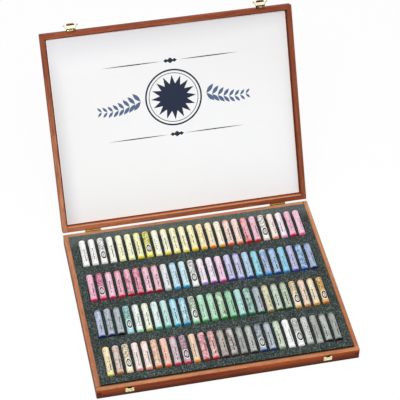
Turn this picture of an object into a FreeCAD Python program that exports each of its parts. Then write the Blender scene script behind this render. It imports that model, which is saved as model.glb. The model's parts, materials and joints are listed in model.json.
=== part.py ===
"""A flat, hinged wooden case for one hundred round soft pastels.

The frame is in millimetres.  The origin is the centre of the case's underside, +X is to the
right, +Y is towards the hinges and +Z is up.  The lid is modelled shut and then swung open,
because open is the pose in which the case is used.
"""

import FreeCAD
import Part
import math
import os

Vector = FreeCAD.Vector

# ---- case body ----------------------------------------------------------------------------------
case_width = 460.0              # outside, left to right
case_depth = 368.0              # outside, front to back
base_height = 22.0
rail_thickness = 8.5
corner_radius = 2.0             # vertical outer corners
edge_easing = 0.8               # eased arris on the outer edges
panel_thickness = 3.0           # plywood of the bottom and of the lid's top
panel_cover = 4.0               # rail wood left outside the panel's rebate
base_top_finger = 6.0           # finger joint, measured down from the base's rim
base_middle_finger = 6.5
lid_finger = 5.5                # each of the two finger bands nearest the lid's rim
shut_gap = 0.3                  # air between lid and base when the case is shut
lid_opening = 120.0             # degrees, shut to the hinge's stop

# ---- foam and pastels ---------------------------------------------------------------------------
stick_diameter = 12.0
stick_sides = 10                # flats that stand for a stick's round, few because 100 repeat
stick_length = 60.0
slot_depth = 7.0                # thickness of the die-cut top sheet
slot_side_clearance = 0.3
slot_end_clearance = 0.5
land_between_sticks = 4.07      # foam left between two slots of a row
land_between_rows = 24.0
foam_margin = 14.0              # least foam left outside the outermost slots
foam_side_clearance = 0.3
foam_proud = 2.0                # foam above the base's rim
seat_gap = 0.3                  # under a stick that rests in its slot

# ---- lid lining ---------------------------------------------------------------------------------
stick_headroom = 1.5            # pastels to cover sheet, case shut
pad_thickness = 4.6
cover_sheet_thickness = 0.4
pad_side_gap = 2.75
pad_hinge_gap = 4.0

# ---- hinges -------------------------------------------------------------------------------------
hinge_inset = 56.0              # outer side to the hinge's centre
hinge_length = 29.0
hinge_barrel_radius = 1.4
hinge_pin_radius = 0.6
hinge_leaf_thickness = 0.8
hinge_leaf_reach = 10.0         # from the pin to the leaf's far edge
hinge_screw_drop = 6.0          # from the pin to the screws
hinge_screw_spacing = 18.0
hinge_screw_length = 6.5
hinge_screw_radius = 1.1
hinge_screw_head_radius = 1.9
stop_tongue_reach = 5.5         # from the pin to the tip of a stop tongue

# ---- clasps -------------------------------------------------------------------------------------
clasp_inset = 57.0              # outer side to the clasp's centre
clasp_width = 17.0              # over the knuckles
clasp_sheet = 0.8               # thickness of every brass piece
clasp_barrel_radius = 1.4
clasp_pin_radius = 0.6
clasp_pin_rise = 1.8            # pin above the middle of the parting gap
clasp_centre_knuckle = 6.0
clasp_opening = 95.0            # degrees, latched to open
clasp_plate_width = 16.0
clasp_plate_reach = 11.0        # plate's far edge above the middle of the parting gap
flap_shoulder = 3.2             # pin to where the ears begin to flare
flap_ear_reach = 13.2           # centre line to the tip of an ear
flap_ear_radius = 1.7
flap_waist_share = 0.45         # of the flare that is reached half-way down to the ears
flap_waist_rise = 0.4           # how far the flare's curve bulges below a straight line
flap_length = 13.0              # pin to the end of the curled lip
flap_lip_width = 12.0
flap_lip_radius = 1.3
flap_bead_width = 13.0
flap_bead_height = 1.7
catch_width = 14.6
catch_height = 11.5
catch_drop = 2.5                # catch plate's top below the middle of the parting gap
catch_nose_height = 1.5
catch_notch_width = 7.0
catch_notch_depth = 3.5
catch_pocket_depth = 2.0        # recess in the wood behind the notch
catch_corner_radius = 1.5
nail_radius = 0.5
nail_head_radius = 1.1
nail_head_tip_radius = 0.6
nail_head_height = 0.5
nail_length = 6.0
nail_edge_distance = 2.5        # nail to the side edge of its plate

fastener_sides = 6              # flats that stand for the round of a screw or nail

# ---- running clearances -------------------------------------------------------------------------
pin_clearance = 0.05            # radial, in every knuckle and round every screw or nail
knuckle_gap = 0.3
barrel_clearance = 0.2          # barrel to the wood behind it
working_gap = 0.3               # between pieces that pass each other

# ---- levels and faces that follow from the sizes above ------------------------------------------
half_width = case_width / 2
half_depth = case_depth / 2
inner_half_width = half_width - rail_thickness
inner_half_depth = half_depth - rail_thickness
parting_z = base_height + shut_gap / 2
lid_rim_z = base_height + shut_gap

foam_top_z = base_height + foam_proud
slot_floor_z = foam_top_z - slot_depth
stick_axis_z = slot_floor_z + seat_gap + stick_diameter / 2
stick_top_z = stick_axis_z + stick_diameter / 2

cover_face_z = stick_top_z + stick_headroom
pad_face_z = cover_face_z + cover_sheet_thickness
lid_panel_z = pad_face_z + pad_thickness
lid_top_z = lid_panel_z + panel_thickness

slot_width = stick_diameter + 2 * slot_side_clearance
slot_length = stick_length + 2 * slot_end_clearance
stick_pitch = slot_width + land_between_sticks
row_pitch = slot_length + land_between_rows
foam_half_width = inner_half_width - foam_side_clearance
foam_half_depth = inner_half_depth - foam_side_clearance
sticks_per_row = 1 + int((2 * (foam_half_width - foam_margin) - slot_width) / stick_pitch)
row_count = 1 + int((2 * (foam_half_depth - foam_margin) - slot_length) / row_pitch)

hinge_pin_y = half_depth + barrel_clearance + hinge_barrel_radius
knuckle_reach = hinge_barrel_radius - barrel_clearance

clasp_pin_out = barrel_clearance + clasp_barrel_radius     # pin in front of the lid's face
flap_face_out = clasp_pin_out + clasp_barrel_radius        # outer face of the latched flap
flap_back_out = flap_face_out - clasp_sheet
catch_nose_out = flap_back_out - working_gap
clasp_pin_z = parting_z + clasp_pin_rise
catch_top_z = parting_z - catch_drop
catch_nose_bottom_z = catch_top_z - catch_nose_height
catch_nail_z = catch_top_z - catch_height + nail_edge_distance
clasp_nail_z = parting_z + clasp_plate_reach - nail_edge_distance


# ---- general shapes -----------------------------------------------------------------------------
def block(x_low, x_high, y_low, y_high, z_low, z_high):
    """Rectangular block between two corners."""
    corner = Vector(x_low, y_low, z_low)
    return Part.makeBox(x_high - x_low, y_high - y_low, z_high - z_low, corner)


def centred_block(x_half, y_half, z_low, z_high):
    """Block that is centred on the Z axis."""
    return block(-x_half, x_half, -y_half, y_half, z_low, z_high)


def rod_along_x(radius, x_low, x_high, y, z):
    """Round rod that runs left to right."""
    return Part.makeCylinder(radius, x_high - x_low, Vector(x_low, y, z), Vector(1, 0, 0))


def flat_face(corners):
    """Flat face inside a closed outline of straight lines."""
    return Part.Face(Part.makePolygon(corners + corners[:1]))


def profile_along_x(points, x_low, x_high):
    """Straight-sided (y, z) outline carried from x_low to x_high."""
    corners = [Vector(x_low, y, z) for y, z in points]
    return flat_face(corners).extrude(Vector(x_high - x_low, 0, 0))


def flats_about_y(radius, sides, centre):
    """Corners of a regular polygon that faces along Y, drawn inside a circle with one flat down."""
    step = 2 * math.pi / sides
    return [
        centre + Vector(radius * math.sin(angle), 0, -radius * math.cos(angle))
        for angle in ((index + 0.5) * step for index in range(sides))
    ]


def flat_sided_rod(radius, sides, start, length_y):
    """Rod with flats, drawn inside the round one; it runs from start along Y."""
    return flat_face(flats_about_y(radius, sides, start)).extrude(Vector(0, length_y, 0))


def flat_sided_taper(radius, end_radius, sides, start, length_y):
    """Rod with flats whose radius changes along Y."""
    near = flats_about_y(radius, sides, start)
    far = flats_about_y(end_radius, sides, start + Vector(0, length_y, 0))
    faces = [flat_face(near), flat_face(far)]
    for index in range(sides):
        faces.append(flat_face([near[index - 1], near[index], far[index], far[index - 1]]))
    solid = Part.makeSolid(Part.makeShell(faces))
    return solid if solid.Volume > 0 else solid.reversed()


def fused(shapes):
    """One clean solid out of several that overlap or touch."""
    first, *rest = shapes
    return first.fuse(rest).removeSplitter() if rest else first


def without(shape, cutters):
    """A solid with every cutter taken out of it."""
    return shape.cut(Part.makeCompound(cutters)) if cutters else shape


def turned(shape, y, z, degrees):
    """Copy of a shape, turned about a left-to-right line through (y, z)."""
    copy = shape.copy()
    copy.rotate(Vector(0, y, z), Vector(1, 0, 0), degrees)
    return copy


# ---- wooden frames ------------------------------------------------------------------------------
def frame_ring(z_low, z_high, panel_low, panel_high):
    """Four-sided frame with eased outer edges and a rebate for its panel."""
    outside = centred_block(half_width, half_depth, z_low, z_high)
    corners = [edge for edge in outside.Edges if abs(edge.Vertexes[0].Z - edge.Vertexes[1].Z) > 1]
    outside = outside.makeFillet(corner_radius, corners)
    rims = [edge for edge in outside.Edges if edge.BoundBox.ZLength < 0.01]
    outside = outside.makeChamfer(edge_easing, rims)
    hollow = centred_block(inner_half_width, inner_half_depth, z_low - 1, z_high + 1)
    return outside.cut(hollow).cut(panel_board(panel_low, panel_high))


def panel_board(z_low, z_high):
    """Plywood board that fills the rebate of a frame."""
    return centred_block(half_width - panel_cover, half_depth - panel_cover, z_low, z_high)


def finger_jointed_rails(ring, side_bands):
    """Cut a frame into front, rear, left and right rails.

    Within each (low, high) band of heights the side rails run through to the front and the
    back and show as end grain there, and elsewhere the front and rear rails run through.
    """
    low, high = ring.BoundBox.ZMin - 1, ring.BoundBox.ZMax + 1
    outer_x, outer_y = half_width + 1, half_depth + 1

    def corner_fingers(x_low, x_high):
        """Fingers of one side rail at its front and rear ends."""
        return [
            block(x_low, x_high, y_low, y_high, z_low, z_high)
            for y_low, y_high in ((-outer_y, -inner_half_depth), (inner_half_depth, outer_y))
            for z_low, z_high in side_bands
        ]

    left_fingers = corner_fingers(-outer_x, -inner_half_width)
    right_fingers = corner_fingers(inner_half_width, outer_x)
    front = block(-outer_x, outer_x, -outer_y, -inner_half_depth, low, high)
    rear = block(-outer_x, outer_x, inner_half_depth, outer_y, low, high)
    left = block(-outer_x, -inner_half_width, -inner_half_depth, inner_half_depth, low, high)
    right = block(inner_half_width, outer_x, -inner_half_depth, inner_half_depth, low, high)
    return {
        "front": ring.common(without(front, left_fingers + right_fingers)),
        "rear": ring.common(without(rear, left_fingers + right_fingers)),
        "left": ring.common(fused([left] + left_fingers)),
        "right": ring.common(fused([right] + right_fingers)),
    }


# ---- foam and pastels ---------------------------------------------------------------------------
def spread(count, pitch):
    """Centres of equally spaced copies on both sides of zero."""
    return [(index - (count - 1) / 2) * pitch for index in range(count)]


def slots():
    """Straight-through slots of the die-cut sheet."""
    return [
        block(x - slot_width / 2, x + slot_width / 2, y - slot_length / 2, y + slot_length / 2,
              slot_floor_z - 1, foam_top_z + 1)
        for x in spread(sticks_per_row, stick_pitch)
        for y in spread(row_count, row_pitch)
    ]


def pastel_row(y):
    """One row of sticks, lying front to back."""
    return [
        flat_sided_rod(stick_diameter / 2, stick_sides,
                       Vector(x, y - stick_length / 2, stick_axis_z), stick_length)
        for x in spread(sticks_per_row, stick_pitch)
    ]


# ---- hinges -------------------------------------------------------------------------------------
def hinge_knuckles(x):
    """Left-to-right spans of the three knuckles of a hinge that is centred on x."""
    third = hinge_length / 3
    start = x - hinge_length / 2
    return [
        (start, start + third - knuckle_gap / 2),
        (start + third + knuckle_gap / 2, start + 2 * third - knuckle_gap / 2),
        (start + 2 * third + knuckle_gap / 2, start + hinge_length),
    ]


def hinge_leaf(x, spans, side):
    """Leaf with its knuckles and stop tongue; side is -1 for the base and +1 for the lid.

    The plate lies on the back of the wood.  The tongue stands off the barrel at half of the
    angle that is left between the two leaves when the lid is fully open, so that the two
    tongues meet there and hold the lid.
    """
    x_low, x_high = x - hinge_length / 2, x + hinge_length / 2
    plate_back = half_depth + hinge_leaf_thickness
    near, far = sorted((parting_z + side * knuckle_reach, parting_z + side * hinge_leaf_reach))
    solids = [block(x_low, x_high, half_depth, plate_back, near, far)]

    lean = math.radians((180 - lid_opening) / 2)
    along = (math.sin(lean), side * math.cos(lean))
    across = (math.cos(lean), -side * math.sin(lean))

    def tongue(start, end):
        """Outline of the tongue between two distances from the pin."""
        near_face, far_face = -working_gap / 2, -working_gap / 2 - hinge_leaf_thickness
        return [
            (hinge_pin_y + along[0] * reach + across[0] * offset,
             parting_z + along[1] * reach + across[1] * offset)
            for reach, offset in (
                (start, near_face), (end, near_face), (end, far_face), (start, far_face)
            )
        ]

    tongue_start = hinge_barrel_radius + working_gap
    solids.append(profile_along_x(tongue(tongue_start, stop_tongue_reach), x_low, x_high))
    bores = []
    for low, high in spans:
        solids.append(rod_along_x(hinge_barrel_radius, low, high, hinge_pin_y, parting_z))
        tab_low, tab_high = sorted((parting_z, parting_z + side * (knuckle_reach + 1)))
        solids.append(block(low, high, half_depth, plate_back, tab_low, tab_high))
        root = tongue(hinge_barrel_radius / 2, tongue_start + 1)
        solids.append(profile_along_x(root, low, high))
        bores.append(rod_along_x(hinge_pin_radius + pin_clearance, low - 1, high + 1,
                                 hinge_pin_y, parting_z))
    bores += hinge_screws(x, side, pin_clearance)
    return without(fused(solids), bores)


def hinge_screws(x, side, clearance=0.0):
    """Countersunk screws of one leaf, or their holes when a clearance is given."""
    z = parting_z + side * hinge_screw_drop
    screws = []
    for offset in spread(2, hinge_screw_spacing):
        face = Vector(x + offset, half_depth + hinge_leaf_thickness, z)
        head = flat_sided_taper(hinge_screw_head_radius + clearance, hinge_screw_radius + clearance,
                                fastener_sides, face, -hinge_leaf_thickness)
        shank = flat_sided_rod(hinge_screw_radius + clearance, fastener_sides, face,
                               -hinge_screw_length - clearance)
        screws.append(fused([head, shank]))
    return screws


def hinge_pin(x):
    """Plain pin, a little proud of the outer knuckles."""
    reach = hinge_length / 2 + knuckle_gap
    return rod_along_x(hinge_pin_radius, x - reach, x + reach, hinge_pin_y, parting_z)


# ---- clasps -------------------------------------------------------------------------------------
def front_y(outwards):
    """Y of a point that lies this far in front of the case's front face."""
    return -half_depth - outwards


def sheet_plate(x, half, z_low, z_high, bottom_radius=0.0):
    """Brass plate flat on the front face."""
    plate = block(x - half, x + half, front_y(clasp_sheet), front_y(0), z_low, z_high)
    if bottom_radius:
        corners = [
            edge for edge in plate.Edges
            if edge.BoundBox.YLength > clasp_sheet / 2 and edge.BoundBox.ZMax < z_low + 0.01
        ]
        plate = plate.makeFillet(bottom_radius, corners)
    return plate


def nails(x, half, z, clearance=0.0):
    """Round-headed nails near both side edges of a plate, or their holes."""
    pins = []
    for offset in spread(2, 2 * (half - nail_edge_distance)):
        face = Vector(x + offset, front_y(clasp_sheet), z)
        shank = flat_sided_rod(nail_radius + clearance, fastener_sides, face,
                               nail_length + clearance)
        if clearance:
            pins.append(shank)
            continue
        head = flat_sided_taper(nail_head_radius, nail_head_tip_radius, fastener_sides,
                                face, -nail_head_height)
        pins.append(fused([shank, head]))
    return pins


def catch_plate(x):
    """Plate on the base with a notched nose that the flap hooks under."""
    half = catch_width / 2
    plate = sheet_plate(x, half, catch_top_z - catch_height, catch_top_z, catch_corner_radius)
    nose = block(x - half, x + half, front_y(catch_nose_out), front_y(0),
                 catch_nose_bottom_z, catch_top_z)
    notch = block(x - catch_notch_width / 2, x + catch_notch_width / 2,
                  front_y(catch_nose_out + 1), front_y(-1),
                  catch_top_z - catch_notch_depth, catch_top_z + 1)
    holes = [notch] + nails(x, half, catch_nail_z, pin_clearance)
    return without(fused([plate, nose]), holes)


def catch_pocket(x):
    """Recess in the front rail behind the catch plate's notch."""
    return block(x - catch_notch_width / 2, x + catch_notch_width / 2,
                 front_y(1), front_y(-catch_pocket_depth),
                 catch_top_z - catch_notch_depth, catch_top_z)


def clasp_plate(x):
    """Plate on the lid with the clasp's middle knuckle."""
    half = clasp_plate_width / 2
    knuckle = clasp_centre_knuckle / 2
    clear_of_flap = clasp_pin_z + clasp_barrel_radius + working_gap
    plate = sheet_plate(x, half, clear_of_flap, parting_z + clasp_plate_reach)
    tab = sheet_plate(x, knuckle, clasp_pin_z, clear_of_flap + 1)
    barrel = rod_along_x(clasp_barrel_radius, x - knuckle, x + knuckle,
                         front_y(clasp_pin_out), clasp_pin_z)
    bore = rod_along_x(clasp_pin_radius + pin_clearance, x - clasp_width, x + clasp_width,
                       front_y(clasp_pin_out), clasp_pin_z)
    holes = [bore] + nails(x, half, clasp_nail_z, pin_clearance)
    return without(fused([plate, tab, barrel]), holes)


def clasp_pin(x):
    """Pin through the clasp's three knuckles."""
    reach = clasp_width / 2
    return rod_along_x(clasp_pin_radius, x - reach, x + reach, front_y(clasp_pin_out), clasp_pin_z)


def flap_outline(x):
    """Face of the latched flap: straight sides, two round ears and a level lower edge."""
    half = clasp_width / 2
    y = front_y(flap_back_out)
    ear_x = flap_ear_reach - flap_ear_radius
    lip_z = clasp_pin_z - flap_length + flap_lip_radius
    ear_z = lip_z + flap_ear_radius

    def edge_half(side):
        """Edges of one side, from the pin down to the lower edge."""
        top = Vector(x + side * half, y, clasp_pin_z)
        shoulder = Vector(x + side * half, y, clasp_pin_z - flap_shoulder)
        bend = Vector(x + side * (half + (ear_x - half) * flap_waist_share), y,
                      (shoulder.z + ear_z + flap_ear_radius) / 2 - flap_waist_rise)
        ear_top = Vector(x + side * ear_x, y, ear_z + flap_ear_radius)
        ear_tip = Vector(x + side * flap_ear_reach, y, ear_z)
        ear_low = Vector(x + side * ear_x, y, ear_z - flap_ear_radius)
        return [
            Part.makeLine(top, shoulder),
            Part.Arc(shoulder, bend, ear_top).toShape(),
            Part.Arc(ear_top, ear_tip, ear_low).toShape(),
        ], top, ear_low

    right, right_top, right_low = edge_half(1)
    left, left_top, left_low = edge_half(-1)
    edges = right + left + [Part.makeLine(right_low, left_low), Part.makeLine(right_top, left_top)]
    return Part.Face(Part.Wire(Part.__sortEdges__(edges)))


def clasp_flap(x):
    """Hinged flap with a hooking bead behind it and a curled lip to lift it by."""
    half = clasp_width / 2
    inner = clasp_centre_knuckle / 2 + knuckle_gap
    pin_y = front_y(clasp_pin_out)
    plate = flap_outline(x).extrude(Vector(0, -clasp_sheet, 0))
    knuckles = [
        rod_along_x(clasp_barrel_radius, low, high, pin_y, clasp_pin_z)
        for low, high in ((x - half, x - inner), (x + inner, x + half))
    ]
    bead_top = catch_nose_bottom_z - working_gap
    bead = block(x - flap_bead_width / 2, x + flap_bead_width / 2,
                 front_y(flap_face_out), front_y(clasp_sheet + working_gap),
                 bead_top - flap_bead_height, bead_top)
    lip_z = clasp_pin_z - flap_length + flap_lip_radius
    lip_y = front_y(flap_back_out + flap_lip_radius)
    lip_low, lip_high = x - flap_lip_width / 2, x + flap_lip_width / 2
    roll = rod_along_x(flap_lip_radius, lip_low, lip_high, lip_y, lip_z)
    roll_bore = rod_along_x(flap_lip_radius - clasp_sheet, lip_low - 1, lip_high + 1, lip_y, lip_z)
    above_roll = block(lip_low - 1, lip_high + 1, lip_y - 2 * flap_lip_radius,
                       lip_y + 2 * flap_lip_radius, lip_z, lip_z + 2 * flap_lip_radius)
    lip = roll.cut(roll_bore).cut(above_roll)
    window = block(x - inner, x + inner, front_y(flap_face_out + 1), front_y(0),
                   clasp_pin_z - clasp_barrel_radius - working_gap, clasp_pin_z + 1)
    bore = rod_along_x(clasp_pin_radius + pin_clearance, x - clasp_width, x + clasp_width,
                       pin_y, clasp_pin_z)
    return without(fused([plate.cut(window)] + knuckles + [bead, lip]), [bore])


# ---- assembly: the case is put together shut, and the lid is then swung open --------------------
def lid_open(shape):
    """A piece of the lid, swung open about the hinge pins."""
    return turned(shape, hinge_pin_y, parting_z, -lid_opening)


def flap_open(shape):
    """A flap, lifted off its catch and then carried open with the lid."""
    return lid_open(turned(shape, front_y(clasp_pin_out), clasp_pin_z, -clasp_opening))


sides = {"left": -1, "right": 1}
hinge_x = {name: side * (half_width - hinge_inset) for name, side in sides.items()}
clasp_x = {name: side * (half_width - clasp_inset) for name, side in sides.items()}

nodes = {}

base_ring = frame_ring(0, base_height, 0, panel_thickness)
base_side_band_top = base_height - base_top_finger
base_rails = finger_jointed_rails(
    base_ring, [(base_side_band_top - base_middle_finger, base_side_band_top)]
)
lid_ring = frame_ring(lid_rim_z, lid_top_z, lid_panel_z, lid_top_z)
lid_rails = finger_jointed_rails(
    lid_ring, [(lid_rim_z - 1, lid_rim_z + lid_finger), (lid_rim_z + 2 * lid_finger, lid_top_z + 1)]
)

base_screws, lid_screws = [], []
base_pilots, lid_pilots = [], []
for x in hinge_x.values():
    base_screws += hinge_screws(x, -1)
    lid_screws += hinge_screws(x, 1)
    base_pilots += hinge_screws(x, -1, pin_clearance)
    lid_pilots += hinge_screws(x, 1, pin_clearance)
catch_nails, clasp_nails = [], []
catch_pilots, clasp_pilots = [], []
for x in clasp_x.values():
    catch_nails += nails(x, catch_width / 2, catch_nail_z)
    clasp_nails += nails(x, clasp_plate_width / 2, clasp_nail_z)
    catch_pilots += nails(x, catch_width / 2, catch_nail_z, pin_clearance) + [catch_pocket(x)]
    clasp_pilots += nails(x, clasp_plate_width / 2, clasp_nail_z, pin_clearance)
base_rails["rear"] = without(base_rails["rear"], base_pilots)
base_rails["front"] = without(base_rails["front"], catch_pilots)
lid_rails["rear"] = without(lid_rails["rear"], lid_pilots)
lid_rails["front"] = without(lid_rails["front"], clasp_pilots)

for place, rail in base_rails.items():
    nodes[f"base_{place}_rail"] = [rail]
for place, rail in lid_rails.items():
    nodes[f"lid_{place}_rail"] = [lid_open(rail)]
nodes["base_panel"] = [panel_board(0, panel_thickness)]
nodes["lid_panel"] = [lid_open(panel_board(lid_panel_z, lid_top_z))]

nodes["foam_underlay"] = [
    centred_block(foam_half_width, foam_half_depth, panel_thickness, slot_floor_z)
]
nodes["foam_insert"] = [
    without(centred_block(foam_half_width, foam_half_depth, slot_floor_z, foam_top_z), slots())
]
for index, y in enumerate(reversed(spread(row_count, row_pitch)), start=1):
    nodes[f"pastels_row_{index}"] = pastel_row(y)

pad_half_width = inner_half_width - pad_side_gap
pad_front_y = -inner_half_depth + pad_side_gap
pad_rear_y = inner_half_depth - pad_hinge_gap
nodes["lid_pad"] = [lid_open(
    block(-pad_half_width, pad_half_width, pad_front_y, pad_rear_y, pad_face_z, lid_panel_z)
)]
nodes["lid_cover_sheet"] = [lid_open(
    block(-pad_half_width, pad_half_width, pad_front_y, pad_rear_y, cover_face_z, pad_face_z)
)]

for name, x in hinge_x.items():
    outer_left, middle, outer_right = hinge_knuckles(x)
    nodes[f"hinge_base_leaf_{name}"] = [hinge_leaf(x, [outer_left, outer_right], -1)]
    nodes[f"hinge_lid_leaf_{name}"] = [lid_open(hinge_leaf(x, [middle], 1))]
    nodes[f"hinge_pin_{name}"] = [hinge_pin(x)]
nodes["hinge_base_screws"] = base_screws
nodes["hinge_lid_screws"] = [lid_open(screw) for screw in lid_screws]

for name, x in clasp_x.items():
    nodes[f"catch_plate_{name}"] = [catch_plate(x)]
    nodes[f"clasp_plate_{name}"] = [lid_open(clasp_plate(x))]
    nodes[f"clasp_pin_{name}"] = [lid_open(clasp_pin(x))]
    nodes[f"clasp_flap_{name}"] = [flap_open(clasp_flap(x))]
nodes["catch_nails"] = catch_nails
nodes["clasp_nails"] = [lid_open(nail) for nail in clasp_nails]

os.makedirs("parts", exist_ok=True)
for name, solids in nodes.items():
    shape = solids[0] if len(solids) == 1 else Part.makeCompound(solids)
    shape.exportStep(f"parts/{name}.step")
    print(f"{name:24s} {len(solids):3d} solids {shape.Volume / 1000:9.3f} cm3 valid {shape.isValid()}")
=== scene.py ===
# %% [markdown]
# # A wooden case of one hundred soft pastels
# The case lies open. Its base holds a dark foam tray with four rows of wrapped pastels, and its lid has
# a white padded lining. The rails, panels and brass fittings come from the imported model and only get
# a finish. The foam, the lining and the pastels are soft or finely shaped, so they are built here as
# surfaces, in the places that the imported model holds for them.

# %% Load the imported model
import json
import math

import bmesh
import bpy
import numpy as np
from mathutils import Matrix, Vector


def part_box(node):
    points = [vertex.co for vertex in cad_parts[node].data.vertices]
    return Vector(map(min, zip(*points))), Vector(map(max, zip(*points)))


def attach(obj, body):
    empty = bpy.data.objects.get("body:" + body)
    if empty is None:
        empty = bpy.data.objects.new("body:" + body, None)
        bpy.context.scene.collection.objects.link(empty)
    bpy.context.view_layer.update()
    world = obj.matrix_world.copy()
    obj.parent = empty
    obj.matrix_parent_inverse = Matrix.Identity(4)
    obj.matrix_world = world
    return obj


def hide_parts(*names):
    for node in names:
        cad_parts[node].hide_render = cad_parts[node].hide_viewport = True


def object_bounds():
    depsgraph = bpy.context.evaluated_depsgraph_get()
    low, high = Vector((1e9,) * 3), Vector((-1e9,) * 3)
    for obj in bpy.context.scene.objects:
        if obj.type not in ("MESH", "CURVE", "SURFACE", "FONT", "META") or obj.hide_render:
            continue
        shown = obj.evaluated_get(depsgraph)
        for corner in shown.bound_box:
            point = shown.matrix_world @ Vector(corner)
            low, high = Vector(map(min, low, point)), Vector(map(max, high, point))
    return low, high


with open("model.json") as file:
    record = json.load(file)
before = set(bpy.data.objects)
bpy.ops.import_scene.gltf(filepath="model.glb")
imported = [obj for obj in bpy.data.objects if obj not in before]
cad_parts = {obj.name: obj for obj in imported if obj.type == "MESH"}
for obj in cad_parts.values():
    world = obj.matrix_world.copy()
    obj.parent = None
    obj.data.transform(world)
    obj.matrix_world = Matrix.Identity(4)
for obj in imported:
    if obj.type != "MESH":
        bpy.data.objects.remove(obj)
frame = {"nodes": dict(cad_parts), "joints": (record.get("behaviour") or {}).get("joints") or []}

cad_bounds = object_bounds()
nodes = frame["nodes"]
scene = bpy.context.scene
MM = 0.001
chance = np.random.default_rng(7)

# %% [markdown]
# ## Shut and open
# A lid is easiest to shape while it is shut, with every face square to an axis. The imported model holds
# it open, so points are turned about the hinge pin, from the open lid to the shut one and back.

# %% Turn points about the hinge pin
joints = {joint["name"]: joint for joint in frame["joints"]}
pin = np.array(joints["lid_hinge"]["pos_m"])
lid_swing = math.radians(joints["lid_hinge"]["range_deg"][1])


def turned_about_pin(points, angle):
    """Points turned about the pin: y becomes y cos - z sin and z becomes y sin + z cos, from the pin."""
    x, y, z = np.moveaxis(np.asarray(points, float) - pin, -1, 0)
    cosine, sine = math.cos(angle), math.sin(angle)
    return np.stack([x, y * cosine - z * sine, y * sine + z * cosine], axis=-1) + pin


def shut_box(node):
    """Lowest and highest corner of a lid node, with the lid shut."""
    corners = np.array([vertex.co for vertex in nodes[node].data.vertices])
    shut = turned_about_pin(corners, lid_swing)
    return shut.min(axis=0), shut.max(axis=0)


def rest_box(node):
    """Lowest and highest corner of a node where it stands."""
    low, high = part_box(node)
    return np.array(low), np.array(high)


cover_low, cover_high = shut_box("lid_cover_sheet")
parting = 0.5 * (rest_box("base_front_rail")[1][2] + shut_box("lid_front_rail")[0][2])
print("lining", np.round((cover_high - cover_low) / MM, 1), "mm")
print("lid and base part at", round(parting / MM, 2), "mm")

# %% [markdown]
# ## Surfaces from arrays
# Every new piece is a grid of points or a stack of outlines, worked out as whole arrays. One function
# puts the points and faces into a mesh. It measures the volume inside the faces and turns them round
# if it is negative, so that they always point outwards.

# %% Put arrays into a mesh
def grid_faces(rows, columns, closed=False):
    """Quads between neighbours in a grid; a closed grid also joins its last column to its first."""
    index = np.arange(rows * columns).reshape(rows, columns)
    if closed:
        index = np.column_stack([index, index[:, 0]])
    corners = [index[:-1, :-1], index[:-1, 1:], index[1:, 1:], index[1:, :-1]]
    return np.stack(corners, axis=-1).reshape(-1, 4)


def add_object(name, data):
    """Put a mesh, a lamp or a camera into the scene."""
    made = bpy.data.objects.new(name, data)
    scene.collection.objects.link(made)
    return made


def enclosed_volume(mesh):
    """Volume inside the faces of a mesh, which is negative where they point inwards."""
    copy = bmesh.new()
    copy.from_mesh(mesh)
    volume = copy.calc_volume(signed=True)
    copy.free()
    return volume


def make_piece(name, points, faces, body, finish, sharp_from=40.0):
    """Mesh object that rides on a body, with smooth faces between edges under the given angle."""
    mesh = bpy.data.meshes.new(name)
    places = np.asarray(points, float).reshape(-1, 3).tolist()
    mesh.from_pydata(places, [], [list(face) for face in faces])
    if enclosed_volume(mesh) < 0:
        mesh.flip_normals()
    mesh.shade_smooth()
    mesh.set_sharp_from_angle(angle=math.radians(sharp_from))
    mesh.materials.append(finish.material)
    piece = add_object(name, mesh)
    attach(piece, body)
    print(name, len(mesh.polygons), "faces")
    return piece


# %% [markdown]
# ## Shader maths
# A material is a network of nodes. Plain expressions keep it readable: each socket is wrapped in a
# value that can be added, multiplied and compared, and every sum adds its own node.

# %% Values and networks
def tone(red, green, blue):
    """Display colour from 0 to 255, as the linear colour that a shader takes."""
    shown = np.array([red, green, blue]) / 255
    linear = np.where(shown <= 0.04045, shown / 12.92, ((shown + 0.055) / 1.055) ** 2.4)
    return (*linear.tolist(), 1.0)


def operation(kind):
    """A method that joins a value with another one, or works on it alone, by one kind of sum."""
    return lambda self, other=0.0: self.maths(kind, self, other)


class Value:
    """A shader socket with arithmetic."""

    def __init__(self, network, socket):
        self.network = network
        self.socket = socket

    def maths(self, kind, first, second):
        return self.network.node("ShaderNodeMath", {"operation": kind}, {0: first, 1: second})

    def __rsub__(self, other):
        return self.maths("SUBTRACT", other, self)

    __add__ = __radd__ = operation("ADD")
    __sub__ = operation("SUBTRACT")
    __mul__ = __rmul__ = operation("MULTIPLY")
    __gt__ = operation("GREATER_THAN")
    __lt__ = operation("LESS_THAN")
    __abs__ = operation("ABSOLUTE")
    floor = operation("FLOOR")
    fraction = operation("FRACT")
    least = operation("MINIMUM")
    most = operation("MAXIMUM")


class Network:
    """A tree of nodes that are made by one method."""

    def __init__(self, tree):
        self.tree = tree

    def node(self, kind, settings=None, inputs=None, output=0):
        """Any node: its settings first, then the values or links of its sockets."""
        made = self.tree.nodes.new(kind)
        for name, value in (settings or {}).items():
            setattr(made, name, value)
        for name, value in (inputs or {}).items():
            if isinstance(value, Value):
                self.tree.links.new(value.socket, made.inputs[name])
            else:
                made.inputs[name].default_value = value
        return Value(self, made.outputs[output])

    def seen_as_white(self):
        """1 for the camera, for mirror images and through glass, and 0 for light on the object."""
        rays = self.node("ShaderNodeLightPath").socket.node.outputs
        seen, glossy, through = (Value(self, rays[f"Is {kind} Ray"])
                                 for kind in ("Camera", "Glossy", "Transmission"))
        return seen.most(glossy).most(through)


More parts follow.
